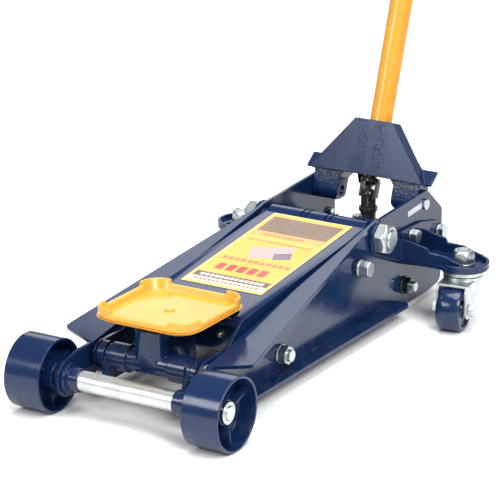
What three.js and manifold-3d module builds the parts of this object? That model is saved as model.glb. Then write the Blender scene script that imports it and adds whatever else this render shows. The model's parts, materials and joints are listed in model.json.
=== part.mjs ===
// Hydraulic trolley jack: welded steel chassis, lift arm with a self-levelling saddle,
// hydraulic power unit, pump handle, two front wheels and two swivel casters.
// Millimetres. +X points to the saddle end, +Y to the jack's left side, +Z up, floor at z = 0.
// The build frame has x = 0 over the front axle; the whole jack is shifted at the end so that
// its origin is at the centre of its footprint box.
import * as THREE from 'three';
import { mergeVertices } from 'three/addons/utils/BufferGeometryUtils.js';
import Module from 'manifold-3d';

const wasm = await Module();
wasm.setup();

// ---------------------------------------------------------------- driving dimensions
const gap = 0.3;                       // clearance between neighbouring pieces
const lean = THREE.MathUtils.degToRad(18.7);   // handle leans back at rest

const wheelRadius = 47.5;              // front wheels
const wheelInnerY = 102.6;
const wheelOuterY = 153.8;
const axleRadius = 13;
const journalRadius = 9;

const plateInnerY = 82.1;              // side plates
const plateOuterY = 87.1;

const liftPivot = { x: -470, z: 129 };           // lift arm turns here
const liftShaftRadius = 12.5;
const saddlePin = { x: -53, z: 67 };             // saddle bracket turns here
const pinRadius = 9;
const rodOffset = { x: 14, z: -26 };             // levelling rods run parallel, this far off
const rodBarRadius = 4.5;

const armHalfWidth = 77.6;             // lift arm channel
const armWall = 5;
const armRear = { x: -477.7, z: 145.6 };
const armFall = 0.105;                 // the arm's top falls this much per millimetre forward
const armFrontX = -138;

const hornRadius = 50;                 // the ram pushes the arm here
const hornBack = THREE.MathUtils.degToRad(29);
const hornPin = {
  x: liftPivot.x - hornRadius * Math.sin(hornBack),
  z: liftPivot.z - hornRadius * Math.cos(hornBack),
};
const hornRollerRadius = 10;

const ramZ = 83;                       // hydraulic ram, level, pushes forward
const ramRadius = 14;
const cylinderFrontX = -514;
const springY = 40;                    // return springs beside the ram
const springZ = 68;

const saddleX = -93;                   // saddle
const saddleFloorZ = 124;
const saddleHalf = 71.5;

const handlePivot = { x: -607, z: 138.6 };       // pump handle yoke
const handleTubeRadius = 15.5;
const handleLowerTop = 560;            // distances along the handle from its pivot
const handleUpperTop = 1060;

const rollerReach = 31;                // pump roller, behind the handle pivot
const rollerRise = THREE.MathUtils.degToRad(20);
const rollerRadius = 7;
const pumpY = -17;                     // the pump sits beside the release valve

const kingpin = { x: -558, y: 173 };   // swivel casters
const casterRadius = 30;
const casterWidth = 33;
const casterTrail = 36.5;
const casterTurn = THREE.MathUtils.degToRad(7.4);

// side plates and fasteners
const spreadRod = { x: -216, z: 44.7 };
const stopBolt = { x: -420, z: 101 };
const unitBolt = { x: -551, z: 38.5 };
const bracketBolts = [{ x: -562, z: 107 }, { x: -643, z: 92 }];
const axleNose = 24.5;
const flareRear = -62;  // the plates are joggled outwards ahead of this
const flareFront = -22;
const flare = 7;
const footZ = 18.4;  // underside of the bottom flange
const axleEndY = 145;
const washerInnerY = 140;

// caster brackets
const bracketWall = 4.5;
const shelfZ = 77;
const bracketEnd = 35;  // radius of the bracket around the kingpin
const crownZ = 62;

// power unit and springs
const strokeSlack = 3;
const valveBore = 6;
const plungerRadius = 6;
const blockTopZ = 93;
const springRadius = 6;

// levelling rods, film and saddle bracket
const rodY = 67;
const rearPinRadius = 4.5;
const frontPinRadius = 5;
const decalHalf = 59.8;
const bracketTopZ = 112;
const bracketCupRadius = 35;  // round seat under the saddle

// yoke cover, universal joint and grip
const coverTopZ = 102;
const coverTopHalf = 29;
const coverFootZ = 24.5;
const coverFootHalf = 89;
const coverFace = 21.5;
const coverSheet = 3;
const handleFootZ = 54.5;
const jointHalf = 5;  // half width of a universal-joint prong
const jointInner = 9.6;
const jointOuter = 13.2;
const jointDepth = 17;
const gripFoot = 935;

// ---------------------------------------------------------------- materials
const paint = (color, roughness, metalness) =>
  new THREE.MeshStandardMaterial({ color, roughness, metalness });
const blueEnamel = () => paint(0x1c2c5c, 0.28, 0.1);
const yellowEnamel = () => paint(0xf2b233, 0.35, 0.0);
const zincPlate = () => paint(0xc4cdcc, 0.32, 0.85);
const blackOxide = () => paint(0x17171a, 0.35, 0.6);
const groundSteel = () => paint(0xb9bdc0, 0.22, 0.95);
const springSteel = () => paint(0x5a5d62, 0.35, 0.9);
const blackRubber = () => paint(0x1d1d1f, 0.8, 0.0);
const printedFilm = () => paint(0xf3b63f, 0.4, 0.0);
const whiteFilm = () => paint(0xe8e8ea, 0.5, 0.0);

// ---------------------------------------------------------------- shape helpers
const axisX = new THREE.Vector3(1, 0, 0);
const axisY = new THREE.Vector3(0, 1, 0);
const axisZ = new THREE.Vector3(0, 0, 1);
const point = (x, y, z) => new THREE.Vector3(x, y, z);
const flat = (x, y) => new THREE.Vector2(x, y);

// a closed three.js geometry as a manifold solid, faces turned outwards
function solid(geometry) {
  const bare = geometry.index ? geometry.toNonIndexed() : geometry.clone();
  for (const name of Object.keys(bare.attributes)) {
    if (name !== 'position') bare.deleteAttribute(name);
  }
  const merged = mergeVertices(bare, 1e-4);
  const index = merged.index.array;
  const place = merged.attributes.position;
  const kept = [];
  let volume = 0;
  const [a, b, c] = [point(0, 0, 0), point(0, 0, 0), point(0, 0, 0)];
  for (let i = 0; i < index.length; i += 3) {
    const [p, q, r] = [index[i], index[i + 1], index[i + 2]];
    if (p === q || q === r || r === p) continue;
    kept.push(p, q, r);
    a.fromBufferAttribute(place, p);
    b.fromBufferAttribute(place, q);
    c.fromBufferAttribute(place, r);
    volume += a.dot(b.cross(c));
  }
  if (volume < 0) {
    for (let i = 0; i < kept.length; i += 3) {
      [kept[i], kept[i + 1]] = [kept[i + 1], kept[i]];
    }
  }
  return new wasm.Manifold(new wasm.Mesh({
    numProp: 3,
    vertProperties: new Float32Array(place.array),
    triVerts: new Uint32Array(kept),
  }));
}

const join = (...solids) => solids.reduce((whole, next) => whole.add(next));
const cut = (whole, ...tools) => tools.reduce((left, tool) => left.subtract(tool), whole);

function box(x0, x1, y0, y1, z0, z1) {
  const geometry = new THREE.BoxGeometry(x1 - x0, y1 - y0, z1 - z0);
  geometry.translate((x0 + x1) / 2, (y0 + y1) / 2, (z0 + z1) / 2);
  return solid(geometry);
}

// a round bar, or a cone, between two points
function bar(radius, from, to, sides = 24, endRadius = radius) {
  const along = to.clone().sub(from);
  const geometry = new THREE.CylinderGeometry(endRadius, radius, along.length(), sides);
  geometry.applyQuaternion(
    new THREE.Quaternion().setFromUnitVectors(axisY, along.clone().normalize()));
  geometry.translate(...from.clone().addScaledVector(along, 0.5).toArray());
  return solid(geometry);
}

const barY = (radius, x, z, y0, y1, sides) => bar(radius, point(x, y0, z), point(x, y1, z), sides);
const barX = (radius, y, z, x0, x1, sides) => bar(radius, point(x0, y, z), point(x1, y, z), sides);
const barZ = (radius, x, y, z0, z1, sides) => bar(radius, point(x, y, z0), point(x, y, z1), sides);
const hexRadius = (acrossFlats) => acrossFlats / Math.sqrt(3);

// an outline extruded along the third axis; the basis says which way the outline's axes point
function extrude(outline, depth, right, up, origin) {
  const shape = outline.isShape ? outline : new THREE.Shape(outline);
  const geometry = new THREE.ExtrudeGeometry(shape, {
    depth, bevelEnabled: false, curveSegments: 4,
  });
  const out = right.clone().cross(up);
  geometry.applyMatrix4(new THREE.Matrix4().makeBasis(right, up, out).setPosition(origin));
  return solid(geometry);
}

// outline in (x, z), from y0 to y1
const sideProfile = (outline, y0, y1) =>
  extrude(outline, y1 - y0, axisX, axisZ, point(0, y1, 0));
// outline in (x, y), from z0 to z1
const planProfile = (outline, z0, z1) =>
  extrude(outline, z1 - z0, axisX, axisY, point(0, 0, z0));
// outline in (y, z), from x0 to x1
const frontProfile = (outline, x0, x1) =>
  extrude(outline, x1 - x0, axisY, axisZ, point(x0, 0, 0));

// a profile of (radius, height) points turned about the Y axis
function turned(profile, sides = 40) {
  return solid(new THREE.LatheGeometry(profile.map(([r, h]) => flat(r, h)), sides));
}

// points on an arc, angles in degrees
function arc(cx, cy, radius, from, to, steps = 6) {
  const points = [];
  for (let i = 0; i <= steps; i++) {
    const angle = THREE.MathUtils.degToRad(from + (to - from) * i / steps);
    points.push(flat(cx + radius * Math.cos(angle), cy + radius * Math.sin(angle)));
  }
  return points;
}

// the outline around two circles, joined by their outer tangents
function link(c0, r0, c1, r1, steps = 10) {
  const along = Math.atan2(c1.z - c0.z, c1.x - c0.x);
  const span = Math.hypot(c1.x - c0.x, c1.z - c0.z);
  const spread = Math.acos((r0 - r1) / span);
  const degrees = THREE.MathUtils.radToDeg;
  return [
    ...arc(c0.x, c0.z, r0, degrees(along + spread), degrees(along - spread) + 360, steps),
    ...arc(c1.x, c1.z, r1, degrees(along - spread), degrees(along + spread), steps),
  ];
}

// a rounded rectangle around a centre
function roundedBox(cx, cy, halfX, halfY, radius, steps = 5) {
  const corners = [[1, 1, 0], [-1, 1, 90], [-1, -1, 180], [1, -1, 270]];
  return corners.flatMap(([sx, sy, from]) =>
    arc(cx + sx * (halfX - radius), cy + sy * (halfY - radius), radius, from, from + 90, steps));
}

// a solid between two outlines of equal length, one above the other
function loft(lower, z0, upper, z1) {
  const count = lower.length;
  const position = [];
  for (const [ring, z] of [[lower, z0], [upper, z1]]) {
    for (const p of ring) position.push(p.x, p.y, z);
  }
  const index = [];
  for (let i = 0; i < count; i++) {
    const j = (i + 1) % count;
    index.push(i, j, count + i, j, count + j, count + i);
  }
  for (const [a, b, c] of THREE.ShapeUtils.triangulateShape(lower, [])) index.push(c, b, a);
  for (const [a, b, c] of THREE.ShapeUtils.triangulateShape(upper, [])) {
    index.push(count + a, count + b, count + c);
  }
  const geometry = new THREE.BufferGeometry();
  geometry.setAttribute('position', new THREE.Float32BufferAttribute(position, 3));
  geometry.setIndex(index);
  return solid(geometry);
}

const mirrorY = (whole) => whole.mirror([0, 1, 0]);

function mesh(name, whole, material) {
  const got = whole.getMesh();
  const geometry = new THREE.BufferGeometry();
  geometry.setAttribute('position', new THREE.Float32BufferAttribute(got.vertProperties, 3));
  geometry.setIndex(new THREE.Uint32BufferAttribute(got.triVerts, 1));
  geometry.computeVertexNormals();
  const piece = new THREE.Mesh(geometry, material);
  piece.name = name;
  return piece;
}

const jack = new THREE.Group();        // everything, in the build frame
const sides = [['left', 1], ['right', -1]];

// adds a piece on the left and its mirror image on the right
function addPair(parent, name, leftSolid, material) {
  parent.add(mesh(`${name}_left`, leftSolid, material()));
  parent.add(mesh(`${name}_right`, mirrorY(leftSolid), material()));
}

// ---------------------------------------------------------------- side plates
const plateTopFront = point(-48, plateOuterY, 82);
const plateTopRear = point(-452, plateOuterY, 148);
const flangeTip = point(-62, 137, 87);

// a slice of the side plate between two heights per end, moved outwards by y0 and y1 at its ends
function plateSlice(x0, x1, bottom, top, y0, y1) {
  const slice = new THREE.Shape([flat(x0, bottom[0]), flat(x1, bottom[1]), flat(x1, top[1]),
    flat(x0, top[0])]);
  const geometry = new THREE.ExtrudeGeometry(slice, { depth: 5, bevelEnabled: false });
  geometry.rotateX(Math.PI / 2);
  geometry.translate(0, plateOuterY, 0);
  const place = geometry.attributes.position;
  for (let i = 0; i < place.count; i++) {
    const share = (place.getX(i) - x0) / (x1 - x0);
    place.setY(i, place.getY(i) + y0 + (y1 - y0) * share);
  }
  return solid(geometry);
}

function sidePlate() {
  const noseTop = flat(0.1 * axleNose, wheelRadius + 0.995 * axleNose);
  const slope = (plateTopFront.z - noseTop.y) / (plateTopFront.x - noseTop.x);
  const topAt = (x) => noseTop.y + slope * (x - noseTop.x);
  const noseFoot = wheelRadius - axleNose;
  const footAt = (x) => noseFoot + (footZ - noseFoot) * x / -60;
  const outline = [
    flat(flareRear, footZ),
    flat(flareRear, plateTopFront.z + 2),
    flat(plateTopRear.x, plateTopRear.z),
    flat(-465, 150.7),
    flat(-612, 157.2),
    flat(-617, 155.2),
    flat(-658, 122),
    flat(-661, 117),
    ...arc(-648, 25, 13, 180, 262, 4),
    flat(-614, 8.5),
    flat(-534, 8.5),
    flat(-527, footZ),
  ];
  const nose = sideProfile([
    flat(flareFront, footAt(flareFront)), ...arc(0, wheelRadius, axleNose, -90, 84, 10),
    flat(flareFront, topAt(flareFront)),
  ], plateInnerY + flare, plateOuterY + flare);
  const joggle = plateSlice(flareRear, flareFront, [footAt(flareRear), footAt(flareFront)],
    [topAt(flareRear) - 2, topAt(flareFront)], 0, flare);
  const web = join(sideProfile(outline, plateInnerY, plateOuterY), joggle, nose);
  const foot = planProfile([
    flat(-527, plateInnerY), flat(-60, plateInnerY), flat(-60, 104), flat(-68, 110.4),
    flat(-521, 110.4), flat(-527, 105),
  ], footZ, footZ + 5);
  // the top flange is folded outwards: wide at the front, tapering to nothing at the rear
  const along = plateTopRear.clone().sub(plateTopFront).normalize();
  const normal = along.clone().cross(flangeTip.clone().sub(plateTopFront)).normalize();
  const across = normal.clone().cross(along);
  const tip = flangeTip.clone().sub(plateTopFront);
  const [tipAlong, tipAcross] = [tip.dot(along), tip.dot(across)];
  const length = plateTopRear.distanceTo(plateTopFront);
  const flangeOutline = [
    flat(-4, -4.5),
    flat(length, -4.5),
    flat(length, -0.5),
    flat(tipAlong + 13, tipAcross * 0.985),
    flat(tipAlong + 4, tipAcross - 0.5),
    flat(tipAlong, tipAcross - 6),
  ];
  const flange = extrude(flangeOutline, 5, along, across,
    plateTopFront.clone().addScaledVector(normal, 5 * (normal.z > 0 ? -1 : 0)));
  const holes = [
    [axleRadius + gap, 0, wheelRadius],
    [liftShaftRadius + gap, liftPivot.x, liftPivot.z],
    [8 + gap, spreadRod.x, spreadRod.z],
    [5 + gap, stopBolt.x, stopBolt.z],
    [6 + gap, unitBolt.x, unitBolt.z],
    [6 + gap, handlePivot.x, handlePivot.z],
    [5 + gap, bracketBolts[0].x, bracketBolts[0].z],
    [5 + gap, bracketBolts[1].x, bracketBolts[1].z],
  ].map(([radius, x, z]) => barY(radius, x, z, plateInnerY - 10, plateOuterY + 12, 24));
  return cut(join(web, foot, flange), ...holes);
}

addPair(jack, 'side_plate', sidePlate(), blueEnamel);

// ---------------------------------------------------------------- front axle and wheels
const frontAxle = join(
  barY(axleRadius, 0, wheelRadius, -101.6, 101.6, 32),
  barY(journalRadius, 0, wheelRadius, -axleEndY, axleEndY, 24),
  ...[1, -1].map((s) => barY(14.5, 0, wheelRadius, s * washerInnerY, s * (washerInnerY + 2.5), 24)),
);
jack.add(mesh('front_axle', frontAxle, zincPlate()));

// stepped collar welded inside each plate, around the axle
const collarBore = barY(axleRadius + gap, 0, wheelRadius, 50, 110, 32);
const axleCollar = cut(join(
  barY(15.5, 0, wheelRadius, 69, 84, 26),
  barY(20, 0, wheelRadius, 83, plateInnerY + flare - gap, 26),
), collarBore);
addPair(jack, 'axle_collar', axleCollar, blueEnamel);

// cast wheel: thin rim, dished web, hub and three ribs on each face; made about its own centre
function frontWheel() {
  const half = (wheelOuterY - wheelInnerY) / 2;
  const profile = [
    [journalRadius + 0.3, -half + 1], [18, -half + 1], [18, -4], [41, -3], [44, -half],
    [wheelRadius - 1, -half], [wheelRadius, -half + 1], [wheelRadius, half - 1],
    [wheelRadius - 1, half], [44.5, half], [41, 3], [17, 2], [17, half - 15],
    [journalRadius + 0.3, half - 15], [journalRadius + 0.3, -half + 1],
  ];
  const wheel = turned(profile, 32);
  const ribs = [33, 153, 273].map((degrees) => {
    const rib = box(15, 43, -half + 8, half - 13, -2, 2);
    return rib.rotate([0, -degrees, 0]);
  });
  return join(wheel, ...ribs);
}
for (const [side, s] of sides) {
  const wheel = mesh(`front_wheel_${side}`, s > 0 ? frontWheel() : mirrorY(frontWheel()), blueEnamel());
  wheel.position.set(0, s * (wheelInnerY + wheelOuterY) / 2, wheelRadius);
  jack.add(wheel);
}

// ---------------------------------------------------------------- rods and bolts of the chassis
const spread = join(
  barY(8, spreadRod.x, spreadRod.z, -105, 105, 20),
  barY(13, spreadRod.x, spreadRod.z, -plateInnerY + gap, plateInnerY - gap, 20),
  ...[1, -1].map((s) => barY(13, spreadRod.x, spreadRod.z,
    s * (plateOuterY + gap), s * (plateOuterY + gap + 2), 20)),
  ...[1, -1].map((s) => barY(hexRadius(22), spreadRod.x, spreadRod.z,
    s * (plateOuterY + gap + 2), s * (plateOuterY + gap + 13), 6)),
);
jack.add(mesh('spread_rod', spread, zincPlate()));

const liftShaft = barY(liftShaftRadius, liftPivot.x, liftPivot.z, -112, 112, 28);
jack.add(mesh('lift_shaft', liftShaft, zincPlate()));

// thick hexagon nut with rounded corners
function roundNut(acrossFlats, thickness, bore) {
  const corner = hexRadius(acrossFlats);
  const hexagon = bar(corner, point(0, 0, 0), point(0, thickness, 0), 6);
  const dome = turned([
    [0, 0], [corner * 0.93, 0], [corner * 1.01, 1.6], [corner * 1.01, thickness * 0.7],
    [corner * 0.8, thickness], [0, thickness],
  ], 24);
  return cut(hexagon.intersect(dome), barY(bore, 0, 0, -1, thickness + 1, 24));
}
const bracketOuterY = plateOuterY + gap + bracketWall;
const liftNut = roundNut(38, 16.5, liftShaftRadius + gap)
  .rotate([0, 12, 0])
  .translate([liftPivot.x, bracketOuterY + gap, liftPivot.z]);
addPair(jack, 'lift_nut', liftNut, zincPlate);

// a hexagon bolt from its head on the outside to its end on the inside
function bolt(radius, acrossFlats, headHeight, at, faceY, endY, washer = acrossFlats * 0.62) {
  return join(
    barY(radius, at.x, at.z, endY, faceY + 3, 16),
    barY(washer, at.x, at.z, faceY, faceY + 1.8, 20),
    barY(hexRadius(acrossFlats), at.x, at.z, faceY + 1.8, faceY + 1.8 + headHeight, 6),
  );
}
const face = plateOuterY + gap;
const sleeve = barY(8.3, stopBolt.x, stopBolt.z, 72.2, plateInnerY - gap, 20);
addPair(jack, 'stop_bolt', join(
  bolt(5, 19, 14, stopBolt, face + 3, 72.2), sleeve, barY(8, stopBolt.x, stopBolt.z, face, face + 4, 20),
), zincPlate);
addPair(jack, 'unit_bolt', join(
  bolt(6, 21, 9, unitBolt, face, 66),
  barY(7, unitBolt.x, unitBolt.z, face + 9, 105.3, 18),
), zincPlate);

// ---------------------------------------------------------------- levelling rod pins
const rodRear = { x: liftPivot.x + rodOffset.x, z: liftPivot.z + rodOffset.z };
const rodFront = { x: saddlePin.x + rodOffset.x, z: saddlePin.z + rodOffset.z };
const rodPin = join(
  barY(rearPinRadius, rodRear.x, rodRear.z, 60.6, plateInnerY - gap, 16),
  barY(7, rodRear.x, rodRear.z, 72.4, plateInnerY - gap, 16),
  barY(6.5, rodRear.x, rodRear.z, 60.6, 62.2, 16),
);
addPair(jack, 'rod_pin', rodPin, zincPlate);

// ---------------------------------------------------------------- caster brackets
function casterBracket() {
  const plateSide = sideProfile([
    ...arc(liftPivot.x, liftPivot.z, 23, -75, 105, 8),
    flat(-500, 122),
    flat(-590, 119),
    flat(-640, 108),
    flat(-655, 98),
    flat(-655, 84),
    flat(-646, 74),
    flat(-545, 74),
    flat(-519, 83),
  ], plateOuterY + gap, bracketOuterY);
  const shelf = planProfile([
    flat(-533, plateOuterY + gap),
    ...arc(kingpin.x, kingpin.y, bracketEnd, -40, 215, 14),
    flat(-592, plateOuterY + gap),
  ], shelfZ, shelfZ + 5);
  const flangeTop = [
    flat(plateOuterY + gap, 109), flat(100, 108.6), flat(129.6, 102), flat(132, 96.5),
    flat(157, 95.5), flat(180, 88), flat(186, 86), flat(186, shelfZ),
  ];
  const frontFlange = frontProfile([flat(plateOuterY + gap, 74), ...flangeTop, flat(140, shelfZ)],
    -538, -533);
  const rearFlange = frontProfile([flat(plateOuterY + gap, shelfZ), ...flangeTop], -592, -587);
  const rim = cut(
    planProfile(arc(kingpin.x, kingpin.y, bracketEnd, -45, 220, 14), shelfZ, 87),
    barZ(bracketEnd - 4.5, kingpin.x, kingpin.y, shelfZ + 5, 90, 24),
    box(-600, -520, 80, kingpin.y - 12, shelfZ + 5, 90),
  );
  return cut(join(plateSide, shelf, frontFlange, rearFlange, rim),
    barZ(8 + gap, kingpin.x, kingpin.y, 60, 95, 20),
    barY(liftShaftRadius + gap, liftPivot.x, liftPivot.z, 80, 100, 28),
    ...bracketBolts.map((at) => barY(5 + gap, at.x, at.z, 80, 100, 16)));
}
addPair(jack, 'caster_bracket', casterBracket(), blueEnamel);
addPair(jack, 'bracket_bolt_front',
  bolt(5, 17, 9, bracketBolts[0], bracketOuterY + gap, plateInnerY - 6), zincPlate);
addPair(jack, 'bracket_bolt_rear',
  bolt(5, 17, 8, bracketBolts[1], bracketOuterY + gap, plateInnerY - 6), zincPlate);

// ---------------------------------------------------------------- swivel casters
const wheelAxleZ = casterRadius;

// fork with crown, ball race and kingpin, made with the kingpin at the origin and trail along +X
function casterFork() {
  const outerY = casterWidth / 2 + 5.2;
  const cheek = sideProfile([
    flat(-8, crownZ + 1), flat(casterTrail + 8, crownZ + 1), flat(casterTrail + 12, crownZ - 4),
    ...arc(casterTrail, wheelAxleZ, 12.5, 10, -160, 8),
    flat(-7, 46),
  ], casterWidth / 2 + 1.7, outerY);
  return join(
    box(-9, casterTrail + 8, -outerY, outerY, crownZ, crownZ + 3),
    cheek,
    mirrorY(cheek),
    barZ(27, 0, 0, crownZ, crownZ + 6.5, 24),
    barZ(23, 0, 0, crownZ + 5, crownZ + 8.5, 24),
    barZ(28, 0, 0, crownZ + 8, shelfZ - gap, 24),
    barZ(8, 0, 0, crownZ, 101, 18),
  ).subtract(barY(4.3, casterTrail, wheelAxleZ, -30, 30, 16));
}

function casterWheel() {
  const half = casterWidth / 2;
  const profile = [
    [5.3, -half + 1], [11, -half + 1], [12, -half + 3.5], [22, -half + 3.5], [24, -half + 0.5],
    [27.5, -half], [casterRadius - 0.4, -half + 3], [casterRadius, -5], [casterRadius, 5],
    [casterRadius - 0.4, half - 3], [27.5, half], [24, half - 0.5], [22, half - 3.5],
    [12, half - 3.5], [11, half - 1], [5.3, half - 1], [5.3, -half + 1],
  ];
  return turned(profile, 26);
}

for (const [side, s] of sides) {
  const caster = new THREE.Group();
  caster.position.set(kingpin.x, s * kingpin.y, 0);
  caster.rotation.z = s * casterTurn;
  caster.add(mesh(`caster_fork_${side}`, casterFork(), zincPlate()));
  const axle = join(
    barY(4, casterTrail, wheelAxleZ, -26, 26, 14),
    barY(hexRadius(13), casterTrail, wheelAxleZ, -28, -22, 6),
    barY(hexRadius(15), casterTrail, wheelAxleZ, 22, 30, 6),
    barY(5, casterTrail, wheelAxleZ, -17.6, 17.6, 14),
  );
  caster.add(mesh(`caster_axle_${side}`, s > 0 ? axle : mirrorY(axle), zincPlate()));
  const wheel = mesh(`caster_wheel_${side}`, casterWheel(), blueEnamel());
  wheel.position.set(casterTrail, 0, wheelAxleZ);
  caster.add(wheel);
  const nut = cut(join(
    roundNut(27, 17, 8 + gap).rotate([90, 0, 0]).translate([0, 0, shelfZ + 5 + gap + 2]),
    cut(barZ(16, 0, 0, shelfZ + 5 + gap, shelfZ + 5 + gap + 2.2, 24),
      barZ(8 + gap, 0, 0, shelfZ, 100, 24)),
  ));
  caster.add(mesh(`kingpin_nut_${side}`, nut, zincPlate()));
  jack.add(caster);
}

// ---------------------------------------------------------------- power unit
const plungerX = handlePivot.x - rollerReach * Math.cos(rollerRise);
const pumpBlock = cut(join(
  box(-652, -516, -62, 62, 14, 56.7),
  box(-653, -590, -33, 30, 50, blockTopZ - 6),
  ...[1, -1].map((s) => sideProfile(roundedBox(unitBolt.x, unitBolt.z, 14, 16, 6, 3),
    Math.min(s * 55, s * (plateInnerY - gap)), Math.max(s * 55, s * (plateInnerY - gap)))),
  ...[1, -1].map((s) => barZ(4, -604, s * springY, 50, springZ + 7, 14)),
  barZ(16, handlePivot.x, 0, 60, blockTopZ, 24),
  barZ(14, plungerX, pumpY, 60, blockTopZ, 24),
  barX(28, 0, ramZ, -596, -586, 32),
),
  barZ(valveBore + gap, handlePivot.x, 0, 66, 110, 20),
  barZ(plungerRadius + gap, plungerX, pumpY, 27, 110, 20),
  ...[1, -1].map((s) => barY(6 + gap, unitBolt.x, unitBolt.z, Math.min(s * 60, s * 90),
    Math.max(s * 60, s * 90), 16)),
);
jack.add(mesh('pump_block', pumpBlock, blueEnamel()));

const ramCylinder = cut(join(
  barX(26, 0, ramZ, -586 + gap, -524, 32),
  barX(hexRadius(44), 0, ramZ, -526, cylinderFrontX, 6),
), barX(ramRadius + gap, 0, ramZ, -582, -500, 28));
jack.add(mesh('ram_cylinder', ramCylinder, blackOxide()));

const fillerPlug = join(
  barZ(6, -575, 0, 108.8 + gap, 113, 16),
  barZ(hexRadius(13), -575, 0, 112, 118, 6),
);
jack.add(mesh('filler_plug', fillerPlug, zincPlate()));

// ram with a crosshead that carries the return springs
const ram = join(
  barX(ramRadius, 0, ramZ, -582 + strokeSlack, -509, 28),
  box(-513.7, -506, -12, 12, 60, 97),
  box(-513.7, -506, -47, 47, 62, 74),
  box(-507, hornPin.x - hornRollerRadius - 0.8, -11, 11, 76, 96),
);
jack.add(mesh('ram_rod', ram, groundSteel()));

const returnSpring = barX(springRadius, springY, springZ, -604 + 4 + gap, -513.7 - gap, 16);
addPair(jack, 'return_spring', returnSpring, springSteel);

// ---------------------------------------------------------------- lift arm
const armTop = (x) => armRear.z - armFall * (x - armRear.x);

function liftArm() {
  const webOutline = [
    flat(armRear.x, armRear.z),
    ...arc(liftPivot.x, liftPivot.z, 22, 135, 270, 8),
    flat(-456, 111.5),
    flat(-420, 109.8),
    flat(-313, 105),
    flat(-230, 100),
    flat(-110, 58),
    ...arc(saddlePin.x, saddlePin.z, 17, -92, 90, 10),
    flat(-104, 84),
    flat(armFrontX, armTop(armFrontX)),
  ];
  const web = sideProfile(webOutline, armHalfWidth - armWall, armHalfWidth);
  const top = sideProfile([
    flat(armRear.x, armRear.z),
    flat(armRear.x, armRear.z - armWall),
    flat(armFrontX, armTop(armFrontX) - armWall),
    flat(armFrontX, armTop(armFrontX)),
  ], -armHalfWidth, armHalfWidth);
  const recess = planProfile(roundedBox(-118, 0, 52, 62, 18, 5), 60, 140);
  const lip = cut(
    planProfile(roundedBox(-118, 0, 55, 65, 21, 5), 92, armTop(armFrontX) - 1),
    planProfile(roundedBox(-118, 0, 52, 62, 18, 5), 60, 140),
    box(armFrontX, 0, -90, 90, 60, 140),
  );
  const hub = barY(20, liftPivot.x, liftPivot.z, -74, 74, 28);
  const horn = sideProfile(link(liftPivot, 20, hornPin, 11), 14, 22);
  const pinBoss = barY(17, saddlePin.x, saddlePin.z, 62.5, 74, 24);
  const frontWall = box(armFrontX - 8, armFrontX - 3, -73, 73, 65, 106);
  const frontRoll = barY(5, armFrontX - 3, armTop(armFrontX) - 5.2, -armHalfWidth + 1, armHalfWidth - 1, 20);
  const rib = sideProfile([
    flat(-462, armTop(-462) - 2), flat(-478, armTop(-478) - 2), flat(-476, 132), flat(-462, 138),
  ], -24, 24);
  return cut(join(
    cut(top, recess),
    lip,
    web,
    mirrorY(web),
    pinBoss,
    mirrorY(pinBoss),
    hub,
    frontWall,
    frontRoll,
    rib,
    horn,
    mirrorY(horn),
  ),
    barY(liftShaftRadius + gap, liftPivot.x, liftPivot.z, -90, 90, 28),
    barY(pinRadius + gap, saddlePin.x, saddlePin.z, -90, 90, 24),
    barY(5 + gap, hornPin.x, hornPin.z, -30, 30, 16));
}
jack.add(mesh('lift_arm', liftArm(), blueEnamel()));

const hornRoller = join(
  barY(hornRollerRadius, hornPin.x, hornPin.z, -13, 13, 28),
  barY(5, hornPin.x, hornPin.z, -24, 24, 16),
);
jack.add(mesh('horn_roller', hornRoller, groundSteel()));

// printed film on the arm's sloping top
const [decalRearX, decalFrontX] = [-452.9, -214.6];
const decal = sideProfile([
  flat(decalRearX, armTop(decalRearX) + gap),
  flat(decalFrontX, armTop(decalFrontX) + gap),
  flat(decalFrontX, armTop(decalFrontX) + gap + 0.4),
  flat(decalRearX, armTop(decalRearX) + gap + 0.4),
], -decalHalf, decalHalf);
jack.add(mesh('arm_decal', decal, printedFilm()));

const saddlePinBar = join(
  barY(pinRadius, saddlePin.x, saddlePin.z, -79, 79, 24),
  ...[1, -1].map((s) => barY(13, saddlePin.x, saddlePin.z, s * (armHalfWidth + gap), s * 80, 24)),
);
jack.add(mesh('saddle_pin', saddlePinBar, blueEnamel()));

// ---------------------------------------------------------------- saddle bracket and saddle
function saddleBracket() {
  const body = join(
    planProfile(roundedBox(-83, 0, 45, 25, 19, 5), 58, bracketTopZ),
    barZ(bracketCupRadius, saddleX, 0, 104, bracketTopZ, 32),
  );
  const gusset = frontProfile([
    flat(-46, 60), flat(46, 60), flat(46, 70), flat(29, 92), flat(-29, 92), flat(-46, 70),
  ], -72, -62);
  const tube = barY(14.5, saddlePin.x, saddlePin.z, -62, 62, 28);
  const bearing = barY(18, saddlePin.x, saddlePin.z, 30, 56, 28);
  const lug = join(
    sideProfile(link(saddlePin, 14, rodFront, 9), 54, 61.5),
    barY(frontPinRadius, rodFront.x, rodFront.z, 58, 73.5, 16),
  );
  return cut(join(body, gusset, tube, bearing, mirrorY(bearing), lug, mirrorY(lug)),
    barY(pinRadius + gap, saddlePin.x, saddlePin.z, -90, 90, 24),
    barZ(11 + gap, saddleX, 0, 84, 130, 24));
}
jack.add(mesh('saddle_bracket', saddleBracket(), blueEnamel()));

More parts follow.
